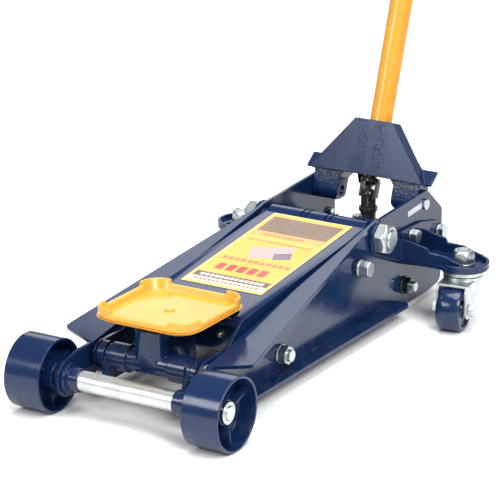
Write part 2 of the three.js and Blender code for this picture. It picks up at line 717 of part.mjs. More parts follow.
const saddleGroup = new THREE.Group();
saddleGroup.position.set(saddleX, 0, saddleFloorZ);
function saddle() {
  const wall = 5;
  const rimZ = 7.5;
  const lugZ = 13.5;
  const outer = join(
    loft(roundedBox(0, 0, 48, 48, 18), -9, roundedBox(0, 0, saddleHalf - 6, saddleHalf - 6, 24), -5),
    loft(roundedBox(0, 0, saddleHalf - 6, saddleHalf - 6, 24), -5.01,
      roundedBox(0, 0, saddleHalf, saddleHalf, 27), 0),
    planProfile(roundedBox(0, 0, saddleHalf, saddleHalf, 27), -0.01, lugZ),
  );
  const hollow = loft(
    roundedBox(0, 0, saddleHalf - wall - 5, saddleHalf - wall - 5, 20), 0,
    roundedBox(0, 0, saddleHalf - wall + 1, saddleHalf - wall + 1, 22), lugZ + 1);
  // the rim stands up at the four corners
  const gate = (turn) => box(-100, 100, -41, 41, rimZ, 30).rotate([0, 0, turn]);
  const stem = barZ(11, 0, 0, -35, 0, 24);
  const foot = barZ(30, 0, 0, bracketTopZ + gap - saddleFloorZ, -8, 28);
  return cut(join(outer, stem, foot), hollow, gate(0), gate(90), barZ(3.5, 0, 0, -30, 10, 12));
}
saddleGroup.add(mesh('saddle', saddle(), yellowEnamel()));
const saddleScrew = join(
  barZ(3.2, 0, 0, -25, 1, 12),
  bar(7, point(0, 0, gap), point(0, 0, 2.6), 18, 5),
);
saddleGroup.add(mesh('saddle_screw', saddleScrew, zincPlate()));
jack.add(saddleGroup);

// ---------------------------------------------------------------- levelling rods
function levellingRod() {
  const rearEye = barY(8, rodRear.x, rodRear.z, rodY - 4.5, rodY + 4.5, 20);
  const frontEye = barY(9, rodFront.x, rodFront.z, rodY - 4.5, rodY + 4.5, 20);
  const shank = bar(rodBarRadius, point(rodRear.x + 4, rodY, rodRear.z),
    point(rodFront.x - 4, rodY, rodFront.z), 12);
  return cut(join(rearEye, frontEye, shank),
    barY(rearPinRadius + gap, rodRear.x, rodRear.z, rodY - 10, rodY + 10, 16),
    barY(frontPinRadius + 1, rodFront.x, rodFront.z, rodY - 10, rodY + 10, 16));
}
addPair(jack, 'levelling_rod', levellingRod(), zincPlate);

// ---------------------------------------------------------------- handle yoke
// Inside this group z runs up the handle from its pivot and x points forwards, square to it.
const yoke = new THREE.Group();
yoke.position.set(handlePivot.x, 0, handlePivot.z);
yoke.rotation.y = -lean;
const coverSlope = (coverFootHalf - coverTopHalf) / (coverTopZ - coverFootZ);
const coverHalf = (z) => coverTopHalf + coverSlope * (coverTopZ - z);
const rollerAt = {
  x: -rollerReach * Math.cos(rollerRise + lean),
  z: rollerReach * Math.sin(rollerRise + lean),
};

function yokeCasting() {
  const inside = (z) => coverHalf(z) - coverSheet - 1.5;
  const legs = frontProfile([
    flat(-plateInnerY + 0.5, -16), flat(-48, -16), flat(-42, -8), flat(-42, 18), flat(-32, 30),
    flat(32, 30), flat(42, 18), flat(42, -8), flat(48, -16), flat(plateInnerY - 0.5, -16),
    flat(plateInnerY - 0.5, 18), flat(inside(28), 28), flat(inside(54), 54),
    flat(-inside(54), 54), flat(-inside(28), 28), flat(-plateInnerY + 0.5, 18),
  ], -15, 15).intersect(join(
    box(-20, 20, -90, 90, 0, 60),
    barY(15, 0, 0, -90, 90, 24),
  ));
  const socket = cut(barZ(23, 0, 0, 50, coverTopZ - 1, 32), box(coverFace - coverSheet - 1, 40, -40, 40, 40, 120));
  const wing = frontProfile([
    flat(-inside(54), 54), flat(inside(54), 54), flat(inside(98), 98), flat(-inside(98), 98),
  ], -4, 4);
  const cheeks = [1, -1].map((s) => sideProfile([
    flat(-8, 32), flat(-8, 50), flat(-20, 50),
    ...arc(rollerAt.x, rollerAt.z, 6.5, 95, 290, 8),
  ], pumpY + (s > 0 ? 8.5 : -12.5), pumpY + (s > 0 ? 12.5 : -8.5)));
  return cut(join(legs, socket, wing, ...cheeks),
    barZ(8, 0, 0, 10, 60, 20),
    barZ(handleTubeRadius + gap + 0.1, 0, 0, 54, 120, 32),
    barY(6 + gap, 0, 0, -90, 90, 20),
    barY(3.5 + gap, rollerAt.x, rollerAt.z, pumpY - 20, pumpY + 20, 14));
}
yoke.add(mesh('yoke_casting', yokeCasting(), blueEnamel()));

// folded sheet cover: sloping face, two turned-back edges and a lug on each side
function yokeCover() {
  const outer = frontProfile([
    flat(-coverFootHalf, coverFootZ), flat(0, coverFootZ + 1.5), flat(coverFootHalf, coverFootZ),
    flat(coverTopHalf, coverTopZ), flat(-coverTopHalf, coverTopZ),
  ], -4, coverFace);
  const innerHalf = (z) => coverHalf(z) - coverSheet * 1.25;
  const inner = frontProfile([
    flat(-innerHalf(0), 0), flat(innerHalf(0), 0), flat(innerHalf(130), 130),
    flat(-innerHalf(130), 130),
  ], -10, coverFace - coverSheet);
  const ear = sideProfile([
    flat(-6, 43.5), flat(-3.4, 46.5), flat(11, 27), flat(8.4, 24),
  ], 64, 97).subtract(inner);
  return cut(join(outer, ear, mirrorY(ear)), inner);
}
yoke.add(mesh('yoke_cover', yokeCover(), blueEnamel()));

const pumpRoller = join(
  barY(rollerRadius, rollerAt.x, rollerAt.z, pumpY - 8, pumpY + 8, 24),
  barY(3.5, rollerAt.x, rollerAt.z, pumpY - 14, pumpY + 14, 14),
);
yoke.add(mesh('pump_roller', pumpRoller, groundSteel()));

// ---------------------------------------------------------------- handle
const tubeBore = handleTubeRadius - 3;

function jointFork(prongAcross) {
  const prongs = [1, -1].map((s) => {
    const [a, b] = s > 0 ? [jointInner, jointOuter] : [-jointOuter, -jointInner];
    return prongAcross === 'y'
      ? box(-jointHalf, jointHalf, a, b, -4, jointDepth + 1)
      : box(a, b, -jointHalf, jointHalf, -4, jointDepth + 1);
  });
  return join(...prongs, barZ(jointOuter, 0, 0, jointDepth, jointDepth + 6, 24));
}

const handleLower = cut(
  barZ(handleTubeRadius, 0, 0, handleFootZ, handleLowerTop, 32),
  barZ(tubeBore, 0, 0, handleFootZ - 1, handleLowerTop + 1, 28),
);
yoke.add(mesh('handle_lower', handleLower, yellowEnamel()));
const handleUpper = cut(join(
  barZ(handleTubeRadius, 0, 0, handleLowerTop + gap, handleUpperTop, 32),
  barZ(tubeBore - gap, 0, 0, handleLowerTop - 60, handleLowerTop + 5, 28),
), barZ(tubeBore - 3, 0, 0, handleLowerTop - 61, handleUpperTop + 1, 24));
yoke.add(mesh('handle_upper', handleUpper, yellowEnamel()));
const grip = cut(join(
  barZ(20.5, 0, 0, gripFoot, handleUpperTop + 5, 28),
  barZ(22.5, 0, 0, gripFoot, gripFoot + 6, 28),
), barZ(handleTubeRadius + gap, 0, 0, gripFoot - 1, handleUpperTop + gap, 28));
yoke.add(mesh('handle_grip', grip, blackRubber()));
const jointUpper = join(
  jointFork('y'),
  barZ(7, 0, 0, jointDepth + 4, 56, 20),
  barZ(tubeBore - gap, 0, 0, handleFootZ, 76, 24),
);
yoke.add(mesh('joint_upper_fork', jointUpper, blackOxide()));
jack.add(yoke);

// round trunnion pins through the plates into the yoke
const yokePin = join(
  barY(6, handlePivot.x, handlePivot.z, 46, plateOuterY + 1, 20),
  barY(7.6, handlePivot.x, handlePivot.z, plateOuterY + gap, plateOuterY + gap + 4, 20),
);
addPair(jack, 'yoke_pin', yokePin, zincPlate);

// release valve stem with the lower half of the universal joint
const valveStem = join(
  jointFork('x').rotate([180, 0, 0]),
  solid(new THREE.SphereGeometry(jointInner - 0.6, 12, 8)),
  barX(2.5, 0, 0, -jointInner - 1, jointInner + 1, 12),
  barZ(6, 0, 0, -70, -jointDepth - 4, 20),
  barZ(11, 0, 0, -34, -jointDepth - 6, 20),
).translate([handlePivot.x, 0, handlePivot.z]);
jack.add(mesh('valve_stem', valveStem, blackOxide()));

// pump plunger and its spring
const rollerZ = handlePivot.z + rollerReach * Math.sin(rollerRise);
const plungerTopZ = rollerZ - rollerRadius - gap;
const plunger = join(
  barZ(plungerRadius, plungerX, pumpY, 60, plungerTopZ - 1, 20),
  barZ(9, plungerX, pumpY, plungerTopZ - 4, plungerTopZ, 20),
);
jack.add(mesh('pump_plunger', plunger, groundSteel()));
const plungerSpring = cut(
  barZ(9, plungerX, pumpY, blockTopZ, plungerTopZ - 4, 20),
  barZ(plungerRadius + 0.6, plungerX, pumpY, 80, 150, 20),
);
jack.add(mesh('plunger_spring', plungerSpring, springSteel()));

// ---------------------------------------------------------------- small label on the left plate
const label = sideProfile([
  flat(-557, 141), flat(-598, 143.5), flat(-598, 135.5), flat(-557, 133),
], plateOuterY + gap, plateOuterY + gap + 0.4);
jack.add(mesh('data_label', label, whiteFilm()));

// ---------------------------------------------------------------- origin
const bounds = new THREE.Box3().setFromObject(jack, true);
jack.position.x = -(bounds.min.x + bounds.max.x) / 2;
jack.position.y = -(bounds.min.y + bounds.max.y) / 2;
jack.position.z = -bounds.min.z;
const model = new THREE.Group();
model.add(jack);

export default model;
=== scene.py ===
import json
import math
import bpy
import bmesh
from mathutils import Matrix, Vector


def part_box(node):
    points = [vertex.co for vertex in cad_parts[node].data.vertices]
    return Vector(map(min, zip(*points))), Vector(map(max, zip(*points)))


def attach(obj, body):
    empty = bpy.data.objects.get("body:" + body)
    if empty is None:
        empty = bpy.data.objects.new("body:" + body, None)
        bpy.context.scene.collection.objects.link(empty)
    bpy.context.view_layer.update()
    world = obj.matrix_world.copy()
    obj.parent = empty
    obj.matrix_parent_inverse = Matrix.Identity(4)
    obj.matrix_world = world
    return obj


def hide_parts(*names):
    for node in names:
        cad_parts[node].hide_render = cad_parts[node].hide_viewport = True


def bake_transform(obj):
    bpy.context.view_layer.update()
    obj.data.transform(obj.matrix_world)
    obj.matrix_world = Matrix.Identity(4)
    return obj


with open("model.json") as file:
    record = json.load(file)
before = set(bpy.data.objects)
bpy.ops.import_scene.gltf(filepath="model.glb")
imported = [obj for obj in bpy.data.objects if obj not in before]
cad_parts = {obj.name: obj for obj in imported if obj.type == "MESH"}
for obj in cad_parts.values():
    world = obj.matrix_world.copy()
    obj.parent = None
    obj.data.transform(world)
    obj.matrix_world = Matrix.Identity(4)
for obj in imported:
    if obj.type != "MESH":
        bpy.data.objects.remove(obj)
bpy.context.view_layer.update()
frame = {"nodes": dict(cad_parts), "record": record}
scene = bpy.context.scene

bodyOf = {}
for bodyName, members in frame["record"]["behaviour"]["bodies"].items():
    for member in members:
        bodyOf[member] = bodyName

axleLow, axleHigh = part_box("front_axle")
originX = (axleLow.x + axleHigh.x) / 2
bothSides = (("left", 1), ("right", -1))


def place(x, y, z):
    # millimetres from the floor under the middle of the front axle
    return Vector((originX + x / 1000, y / 1000, z / 1000))


# ---- camera and light
cameraSetup = {"x": 2783.36, "y": 1822.47, "z": 1324.5, "turn": 120.69, "tilt": 18.24, "roll": 0.19,
               "lens": 210.0, "sensor": 36, "clipEnd": 50}


def makeCamera(setup):
    turn, tilt, roll = (math.radians(setup[key]) for key in ("turn", "tilt", "roll"))
    back = Vector((math.sin(turn) * math.cos(tilt), -math.cos(turn) * math.cos(tilt), math.sin(tilt)))
    right = (-back).cross(Vector((0, 0, 1))).normalized()
    up = right.cross(-back)
    rolledRight = math.cos(roll) * right + math.sin(roll) * up
    rolledUp = -math.sin(roll) * right + math.cos(roll) * up
    data = bpy.data.cameras.new("camera")
    data.lens = setup["lens"]
    data.sensor_width = setup["sensor"]
    data.clip_end = setup["clipEnd"]
    camera = bpy.data.objects.new("camera", data)
    turnMatrix = Matrix((rolledRight, rolledUp, back)).transposed().to_4x4()
    camera.matrix_world = Matrix.Translation(place(setup["x"], setup["y"], setup["z"])) @ turnMatrix
    scene.collection.objects.link(camera)
    scene.camera = camera


makeCamera(cameraSetup)

lightSetup = {
    "world": 0.32,
    "panels": [
        # name, position, size, power, aimed at
        ("keyPanel", (1.6, 2.4, 2.6), 1.8, 120, (0, 0, 0.1)),
        ("frontPanel", (3.0, -1.2, 1.9), 1.4, 50, (0.2, 0, 0.1)),
        ("rearPanel", (-2.6, -1.7, 1.9), 1.7, 13, (0, 0, 0.1)),
        ("topPanel", (0.1, 0.2, 3.4), 2.4, 110, (0, 0, 0)),
    ],
}


def makeLights(setup):
    world = bpy.data.worlds.new("studio")
    world.use_nodes = True
    tree = world.node_tree
    ambient = tree.nodes["Background"]
    ambient.inputs["Color"].default_value = (1, 1, 1, 1)
    ambient.inputs["Strength"].default_value = setup["world"]
    backdrop = tree.nodes.new("ShaderNodeBackground")
    backdrop.inputs["Color"].default_value = (1, 1, 1, 1)
    seen = tree.nodes.new("ShaderNodeLightPath")
    choose = tree.nodes.new("ShaderNodeMixShader")
    tree.links.new(seen.outputs["Is Camera Ray"], choose.inputs[0])
    tree.links.new(ambient.outputs[0], choose.inputs[1])
    tree.links.new(backdrop.outputs[0], choose.inputs[2])
    tree.links.new(choose.outputs[0], tree.nodes["World Output"].inputs["Surface"])
    scene.world = world
    for name, spot, size, power, aim in setup["panels"]:
        data = bpy.data.lights.new(name, "AREA")
        data.shape = "DISK"
        data.size = size
        data.energy = power
        panel = bpy.data.objects.new(name, data)
        panel.location = spot
        panel.rotation_euler = (Vector(aim) - Vector(spot)).to_track_quat("-Z", "Y").to_euler()
        scene.collection.objects.link(panel)


makeLights(lightSetup)
scene.view_settings.view_transform = "Standard"
scene.view_settings.look = "None"
print("camera and light ready")


# ---- shader groups
def newGroup(name, inputs, outputs):
    group = bpy.data.node_groups.new(name, "ShaderNodeTree")
    for label, kind, value in inputs:
        socket = group.interface.new_socket(name=label, in_out="INPUT", socket_type=kind)
        if value is not None:
            socket.default_value = value
    for label, kind in outputs:
        group.interface.new_socket(name=label, in_out="OUTPUT", socket_type=kind)
    nodes = group.nodes
    return group, nodes.new("NodeGroupInput"), nodes.new("NodeGroupOutput")


def addNode(tree, kind, settings=None, **values):
    node = tree.nodes.new(kind)
    for key, value in (settings or {}).items():
        setattr(node, key, value)
    for key, value in values.items():
        node.inputs[key.replace("_", " ")].default_value = value
    return node


def noise(tree, vector, scale, detail=2.0, roughness=0.5):
    node = addNode(tree, "ShaderNodeTexNoise", Scale=scale, Detail=detail, Roughness=roughness)
    tree.links.new(vector, node.inputs["Vector"])
    return node.outputs["Fac"]


def ramp(tree, value, low, high, fromValue=0.0, toValue=1.0):
    node = addNode(tree, "ShaderNodeMapRange")
    node.inputs["From Min"].default_value = low
    node.inputs["From Max"].default_value = high
    node.inputs["To Min"].default_value = fromValue
    node.inputs["To Max"].default_value = toValue
    tree.links.new(value, node.inputs["Value"])
    return node.outputs["Result"]


def maths(tree, operation, first, second):
    node = addNode(tree, "ShaderNodeMath", {"operation": operation})
    for socket, value in zip(node.inputs, (first, second)):
        if isinstance(value, (int, float)):
            socket.default_value = value
        else:
            tree.links.new(value, socket)
    return node.outputs[0]


def blendColour(tree, share, first, second):
    node = addNode(tree, "ShaderNodeMix", {"data_type": "RGBA"})
    for key, value in ((0, share), (6, first), (7, second)):
        if isinstance(value, (int, float, tuple)):
            node.inputs[key].default_value = value
        else:
            tree.links.new(value, node.inputs[key])
    return node.outputs[2]


grimeColour = (0.19, 0.17, 0.14, 1)


def buildPaintSkin():
    # sprayed enamel: slow shade drift, orange peel, tiny dust nibs and a little grime low down
    group, given, out = newGroup("paintSkin",
        [("Position", "NodeSocketVector", None), ("Colour", "NodeSocketColor", (0.1, 0.1, 0.1, 1)),
         ("Shade", "NodeSocketColor", (0.05, 0.05, 0.05, 1)), ("Gloss", "NodeSocketFloat", 0.15),
         ("Grime", "NodeSocketFloat", 0.25)],
        [("Colour", "NodeSocketColor"), ("Roughness", "NodeSocketFloat"), ("Height", "NodeSocketFloat")])
    position = given.outputs["Position"]
    drift = ramp(group, noise(group, position, 14, 3), 0.35, 0.7)
    tinted = blendColour(group, drift, given.outputs["Colour"], given.outputs["Shade"])
    split = addNode(group, "ShaderNodeSeparateXYZ")
    group.links.new(position, split.inputs[0])
    low = ramp(group, split.outputs["Z"], 0.0, 0.09, 1.0, 0.0)
    patch = ramp(group, noise(group, position, 60, 5, 0.65), 0.5, 0.72)
    grime = maths(group, "MULTIPLY", maths(group, "MULTIPLY", low, patch), given.outputs["Grime"])
    dusty = blendColour(group, grime, tinted, grimeColour)
    group.links.new(dusty, out.inputs["Colour"])
    smear = ramp(group, noise(group, position, 38, 4, 0.6), 0.3, 0.75, -0.03, 0.09)
    rough = maths(group, "ADD", maths(group, "ADD", given.outputs["Gloss"], smear),
                  maths(group, "MULTIPLY", grime, 0.5))
    group.links.new(rough, out.inputs["Roughness"])
    peel = noise(group, position, 420, 1.5)
    nibs = ramp(group, noise(group, position, 1500, 1), 0.68, 0.8)
    group.links.new(maths(group, "ADD", peel, maths(group, "MULTIPLY", nibs, 0.4)), out.inputs["Height"])
    return group


def buildCastSkin():
    # sand-cast surface: coarse grain with shallow pits
    group, given, out = newGroup("castSkin",
        [("Position", "NodeSocketVector", None), ("Grain", "NodeSocketFloat", 260.0)],
        [("Height", "NodeSocketFloat"), ("Pits", "NodeSocketFloat")])
    grain = addNode(group, "ShaderNodeTexNoise", Detail=3.0, Roughness=0.6)
    group.links.new(given.outputs["Position"], grain.inputs["Vector"])
    group.links.new(given.outputs["Grain"], grain.inputs["Scale"])
    cells = addNode(group, "ShaderNodeTexVoronoi", {"feature": "SMOOTH_F1"}, Smoothness=0.6)
    group.links.new(given.outputs["Position"], cells.inputs["Vector"])
    group.links.new(given.outputs["Grain"], cells.inputs["Scale"])
    pits = ramp(group, grain.outputs["Fac"], 0.62, 0.74)
    height = maths(group, "SUBTRACT", maths(group, "ADD", grain.outputs["Fac"],
                   maths(group, "MULTIPLY", cells.outputs["Distance"], 0.6)), pits)
    group.links.new(height, out.inputs["Height"])
    group.links.new(pits, out.inputs["Pits"])
    return group


def buildPlateSkin():
    # plated or bare steel: cloudy sheen, fine draw lines and handling marks
    group, given, out = newGroup("plateSkin",
        [("Position", "NodeSocketVector", None), ("Colour", "NodeSocketColor", (0.7, 0.7, 0.7, 1)),
         ("Cloud", "NodeSocketColor", (0.5, 0.5, 0.5, 1)), ("Rough", "NodeSocketFloat", 0.3),
         ("Lines", "NodeSocketFloat", 1.0)],
        [("Colour", "NodeSocketColor"), ("Roughness", "NodeSocketFloat"), ("Height", "NodeSocketFloat")])
    position = given.outputs["Position"]
    cloud = ramp(group, noise(group, position, 45, 4, 0.6), 0.35, 0.72)
    stain = ramp(group, noise(group, position, 230, 3), 0.6, 0.75, 0.0, 0.5)
    shade = maths(group, "MAXIMUM", cloud, stain)
    group.links.new(blendColour(group, shade, given.outputs["Colour"], given.outputs["Cloud"]),
                    out.inputs["Colour"])
    stretch = addNode(group, "ShaderNodeMapping")
    stretch.inputs["Scale"].default_value = (1.0, 0.06, 1.0)
    group.links.new(position, stretch.inputs["Vector"])
    lines = noise(group, stretch.outputs["Vector"], 1600, 2)
    group.links.new(maths(group, "ADD", given.outputs["Rough"], ramp(group, lines, 0.3, 0.7, -0.05, 0.1)),
                    out.inputs["Roughness"])
    group.links.new(maths(group, "MULTIPLY", lines, given.outputs["Lines"]), out.inputs["Height"])
    return group


paintSkin = buildPaintSkin()
castSkin = buildCastSkin()
plateSkin = buildPlateSkin()


def newMaterial(name, **constants):
    material = bpy.data.materials.new(name)
    material.use_nodes = True
    tree = material.node_tree
    shader = tree.nodes["Principled BSDF"]
    for key, value in constants.items():
        shader.inputs[key.replace("_", " ")].default_value = value
    where = tree.nodes.new("ShaderNodeTexCoord").outputs["Object"]
    return material, tree, shader, where


def placeGroup(tree, group, where, **values):
    node = tree.nodes.new("ShaderNodeGroup")
    node.node_tree = group
    tree.links.new(where, node.inputs["Position"])
    for key, value in values.items():
        node.inputs[key].default_value = value
    return node


def bump(tree, shader, height, strength, distance):
    node = addNode(tree, "ShaderNodeBump", Strength=strength, Distance=distance)
    tree.links.new(height, node.inputs["Height"])
    tree.links.new(node.outputs["Normal"], shader.inputs["Normal"])


enamel = {"specular": 0.42, "peelDepth": 0.00003}


def paint(name, colour, shade, gloss=0.12, grime=0.2, cast=0.0, grain=260.0):
    # cast is the depth of a casting's grain under the paint, in metres; 0 leaves orange peel alone
    material, tree, shader, where = newMaterial(name, Specular_IOR_Level=enamel["specular"])
    skin = placeGroup(tree, paintSkin, where, Colour=colour, Shade=shade, Gloss=gloss, Grime=grime)
    tree.links.new(skin.outputs["Colour"], shader.inputs["Base Color"])
    tree.links.new(skin.outputs["Roughness"], shader.inputs["Roughness"])
    if cast:
        casting = placeGroup(tree, castSkin, where, Grain=grain)
        bump(tree, shader, casting.outputs["Height"], 0.6, cast)
    else:
        bump(tree, shader, skin.outputs["Height"], 0.5, enamel["peelDepth"])
    return material


# two rough weld strips under the cover's paint, in metres from the middle
weldStrip = {"across": 0.014, "wander": 0.005, "core": 0.004, "edge": 0.011, "depth": 0.0009}


def coverPaint(name, colour, shade):
    material, tree, shader, where = newMaterial(name, Specular_IOR_Level=enamel["specular"])
    skin = placeGroup(tree, paintSkin, where, Colour=colour, Shade=shade, Gloss=0.16, Grime=0.0)
    tree.links.new(skin.outputs["Colour"], shader.inputs["Base Color"])
    tree.links.new(skin.outputs["Roughness"], shader.inputs["Roughness"])
    specks = ramp(tree, noise(tree, where, 480, 2), 0.56, 0.68)
    split = addNode(tree, "ShaderNodeSeparateXYZ")
    tree.links.new(where, split.inputs[0])
    across = maths(tree, "ABSOLUTE", split.outputs["Y"], 0)
    offset = maths(tree, "ABSOLUTE", maths(tree, "SUBTRACT", across, weldStrip["across"]), 0)
    wander = ramp(tree, noise(tree, where, 60, 3), 0.3, 0.7, -weldStrip["wander"], weldStrip["wander"])
    strip = ramp(tree, maths(tree, "ADD", offset, wander), weldStrip["core"], weldStrip["edge"], 1.0, 0.06)
    height = maths(tree, "MULTIPLY", specks, strip)
    bump(tree, shader, height, 0.8, weldStrip["depth"])
    return material


def plated(name, colour, cloud, rough=0.25, lines=1.0, depth=0.00002):
    material, tree, shader, where = newMaterial(name, Metallic=1.0)
    skin = placeGroup(tree, plateSkin, where, Colour=colour, Cloud=cloud, Rough=rough, Lines=lines)
    tree.links.new(skin.outputs["Colour"], shader.inputs["Base Color"])
    tree.links.new(skin.outputs["Roughness"], shader.inputs["Roughness"])
    bump(tree, shader, skin.outputs["Height"], 0.4, depth)
    return material


finishes = {
    "navy": ((0.0045, 0.020, 0.073, 1), (0.0035, 0.015, 0.057, 1)),
    "yellow": ((0.74, 0.37, 0.048, 1), (0.68, 0.32, 0.038, 1)),
    "zinc": ((0.60, 0.64, 0.64, 1), (0.43, 0.47, 0.48, 1)),
    "black": ((0.016, 0.016, 0.018, 1), (0.03, 0.03, 0.032, 1)),
}
navyPaint = paint("navyPaint", *finishes["navy"])
navyCast = paint("navyCast", *finishes["navy"], gloss=0.2, cast=0.0005, grain=230.0)
navyWheel = paint("navyWheel", *finishes["navy"], gloss=0.14, grime=0.1, cast=0.00008, grain=160.0)
yellowTube = paint("yellowTube", (0.66, 0.31, 0.036, 1), (0.58, 0.26, 0.03, 1), gloss=0.2, grime=0.0)
yellowPaint = paint("yellowPaint", *finishes["yellow"], gloss=0.16, grime=0.0)
zinc = plated("zinc", *finishes["zinc"], rough=0.34, lines=0.4, depth=0.000006)
yellowCast = paint("yellowCast", *finishes["yellow"], gloss=0.2, grime=0.0, cast=0.00006, grain=90.0)
coverNavy = coverPaint("coverNavy", *finishes["navy"])
greenSteel = plated("greenSteel", (0.10, 0.14, 0.13, 1), (0.05, 0.07, 0.07, 1), rough=0.3)
groundSteel = plated("groundSteel", (0.66, 0.68, 0.67, 1), (0.5, 0.53, 0.52, 1), rough=0.36)
darkSteel = plated("darkSteel", (0.09, 0.09, 0.1, 1), (0.05, 0.05, 0.055, 1), rough=0.28)
blackOxide = paint("blackOxide", *finishes["black"], gloss=0.2, grime=0.0)

rubberLook = {"black": (0.02, 0.02, 0.021, 1), "worn": (0.045, 0.045, 0.045, 1), "grain": 700.0}


def makeRubber():
    material, tree, shader, where = newMaterial("gripRubber")
    skin = placeGroup(tree, castSkin, where, Grain=rubberLook["grain"])
    tree.links.new(blendColour(tree, skin.outputs["Pits"], rubberLook["black"], rubberLook["worn"]),
                   shader.inputs["Base Color"])
    tree.links.new(ramp(tree, skin.outputs["Height"], 0.2, 1.0, 0.55, 0.8), shader.inputs["Roughness"])
    bump(tree, shader, skin.outputs["Height"], 0.5, 0.0001)
    return material


gripRubber = makeRubber()
print("materials ready")


# ---- mesh helpers
meshCleanup = {"mergeDistance": 0.000002, "flatDegrees": 0.6, "poleDistance": 0.0000005}


def copyNode(node):
    # the CAD node's own shape, merged and with its flat faces made whole
    bm = bmesh.new()
    bm.from_mesh(frame["nodes"][node].data)
    bmesh.ops.remove_doubles(bm, verts=bm.verts, dist=meshCleanup["mergeDistance"])
    bmesh.ops.dissolve_limit(bm, angle_limit=math.radians(meshCleanup["flatDegrees"]), verts=bm.verts,
                             edges=bm.edges, use_dissolve_boundaries=False, delimit=set())
    return bm


def finishPiece(name, bm, material, body, replaced=(), rounding=0.0, segments=2,
                smoothAngle=34):
    limit = math.radians(smoothAngle)
    for face in bm.faces:
        face.smooth = True
    for edge in bm.edges:
        edge.smooth = len(edge.link_faces) == 2 and edge.calc_face_angle(0) < limit
    data = bpy.data.meshes.new(name)
    bm.to_mesh(data)
    bm.free()
    data.materials.append(material)
    piece = bpy.data.objects.new(name, data)
    scene.collection.objects.link(piece)
    if rounding:
        bevel = piece.modifiers.new("edges", "BEVEL")
        bevel.width = rounding / 1000
        bevel.segments = segments
        bevel.limit_method = "ANGLE"
        bevel.angle_limit = limit
        bevel.use_clamp_overlap = False
        bevel.harden_normals = True
        bevel.miter_outer = "MITER_ARC"
    if body:
        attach(piece, body)
    for node in replaced:
        for holder in frame["nodes"][node].material_slots:
            holder.material = material
    if replaced:
        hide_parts(*replaced)
    return piece


def refine(node, material, rounding=0.6, segments=2, smoothAngle=34):
    # stands for a CAD node with rounded, smoothly shaded edges
    finishPiece(node + "_body", copyNode(node), material, bodyOf[node], (node,),
                rounding, segments, smoothAngle)


def spun(profile, steps=64):
    # (radius, along) pairs in millimetres, turned about Y; pairs at radius 0 close the ends
    bm = bmesh.new()
    chain = [bm.verts.new((radius / 1000, along / 1000, 0)) for radius, along in profile]
    edges = [bm.edges.new(pair) for pair in zip(chain, chain[1:])]
    bmesh.ops.spin(bm, geom=chain + edges, cent=(0, 0, 0), axis=(0, 1, 0), angle=2 * math.pi,
                   steps=steps, use_merge=True, use_duplicate=False)
    bmesh.ops.remove_doubles(bm, verts=bm.verts, dist=meshCleanup["poleDistance"])
    bmesh.ops.recalc_face_normals(bm, faces=bm.faces)
    return bm


def moveTo(bm, origin, direction):
    # turns a shape made along Y to lie along direction
    turn = Vector((0, 1, 0)).rotation_difference(Vector(direction)).to_matrix().to_4x4()
    bm.transform(Matrix.Translation(origin) @ turn)


def combine(*parts):
    whole = bmesh.new()
    for part in parts:
        data = bpy.data.meshes.new("part")
        part.to_mesh(data)
        part.free()
        whole.from_mesh(data)
        bpy.data.meshes.remove(data)
    return whole


def block(x0, x1, y0, y1, z0, z1, rounding=0.0, segments=2):
    bm = bmesh.new()
    bmesh.ops.create_cube(bm, size=1)
    bmesh.ops.scale(bm, vec=((x1 - x0) / 1000, (y1 - y0) / 1000, (z1 - z0) / 1000), verts=bm.verts)
    bmesh.ops.translate(bm, vec=((x0 + x1) / 2000, (y0 + y1) / 2000, (z0 + z1) / 2000), verts=bm.verts)
    if rounding:
        bmesh.ops.bevel(bm, geom=bm.edges[:], offset=rounding / 1000, offset_type="OFFSET",
                        affect="EDGES", segments=segments, profile=0.5, material=-1)
    return bm


def coil(radius, wire, length, turns, stepsPerTurn=20):
    # a helical spring along Y
    bm = bmesh.new()
    bmesh.ops.create_circle(bm, segments=8, radius=wire / 1000)
    bmesh.ops.translate(bm, vec=(radius / 1000, 0, 0), verts=bm.verts)
    steps = int(turns * stepsPerTurn)
    bmesh.ops.spin(bm, geom=bm.verts[:] + bm.edges[:], cent=(0, 0, 0), axis=(0, 1, 0),
                   dvec=(0, length / 1000 / steps, 0), angle=2 * math.pi * turns, steps=steps,
                   use_merge=False, use_duplicate=False)
    bmesh.ops.holes_fill(bm, edges=[e for e in bm.edges if e.is_boundary], sides=8)
    bmesh.ops.recalc_face_normals(bm, faces=bm.faces)
    return bm


# ---- floor
floorSetup = {"radius": 2.2, "drop": 0.0004, "pale": (0.95, 0.95, 0.95, 1), "mottled": (0.93, 0.93, 0.935, 1)}


def makeFloor():
    bm = bmesh.new()
    bmesh.ops.create_circle(bm, cap_ends=True, segments=96, radius=floorSetup["radius"])
    data = bpy.data.meshes.new("floor")
    bm.to_mesh(data)
    bm.free()
    material, tree, shader, where = newMaterial("paleFloor", Roughness=0.9)
    mottle = ramp(tree, noise(tree, where, 3, 2), 0.3, 0.7)
    tree.links.new(blendColour(tree, mottle, floorSetup["pale"], floorSetup["mottled"]),
                   shader.inputs["Base Color"])
    data.materials.append(material)
    floor = bpy.data.objects.new("floor", data)
    floor.location.z = -floorSetup["drop"]
    scene.collection.objects.link(floor)


makeFloor()

# ---- chassis
for side, _ in bothSides:
    refine("side_plate_" + side, navyPaint, 0.7)
    refine("axle_collar_" + side, navyPaint, 0.8)
    refine("caster_bracket_" + side, navyPaint, 0.7)
refine("lift_arm", navyPaint, 0.9)
refine("saddle_bracket", navyWheel, 1.2, 3)
refine("yoke_cover", coverNavy, 1.0, 3)
refine("yoke_casting", navyCast, 1.2, 3)
refine("pump_block", navyCast, 1.0)
print("painted pressings ready")

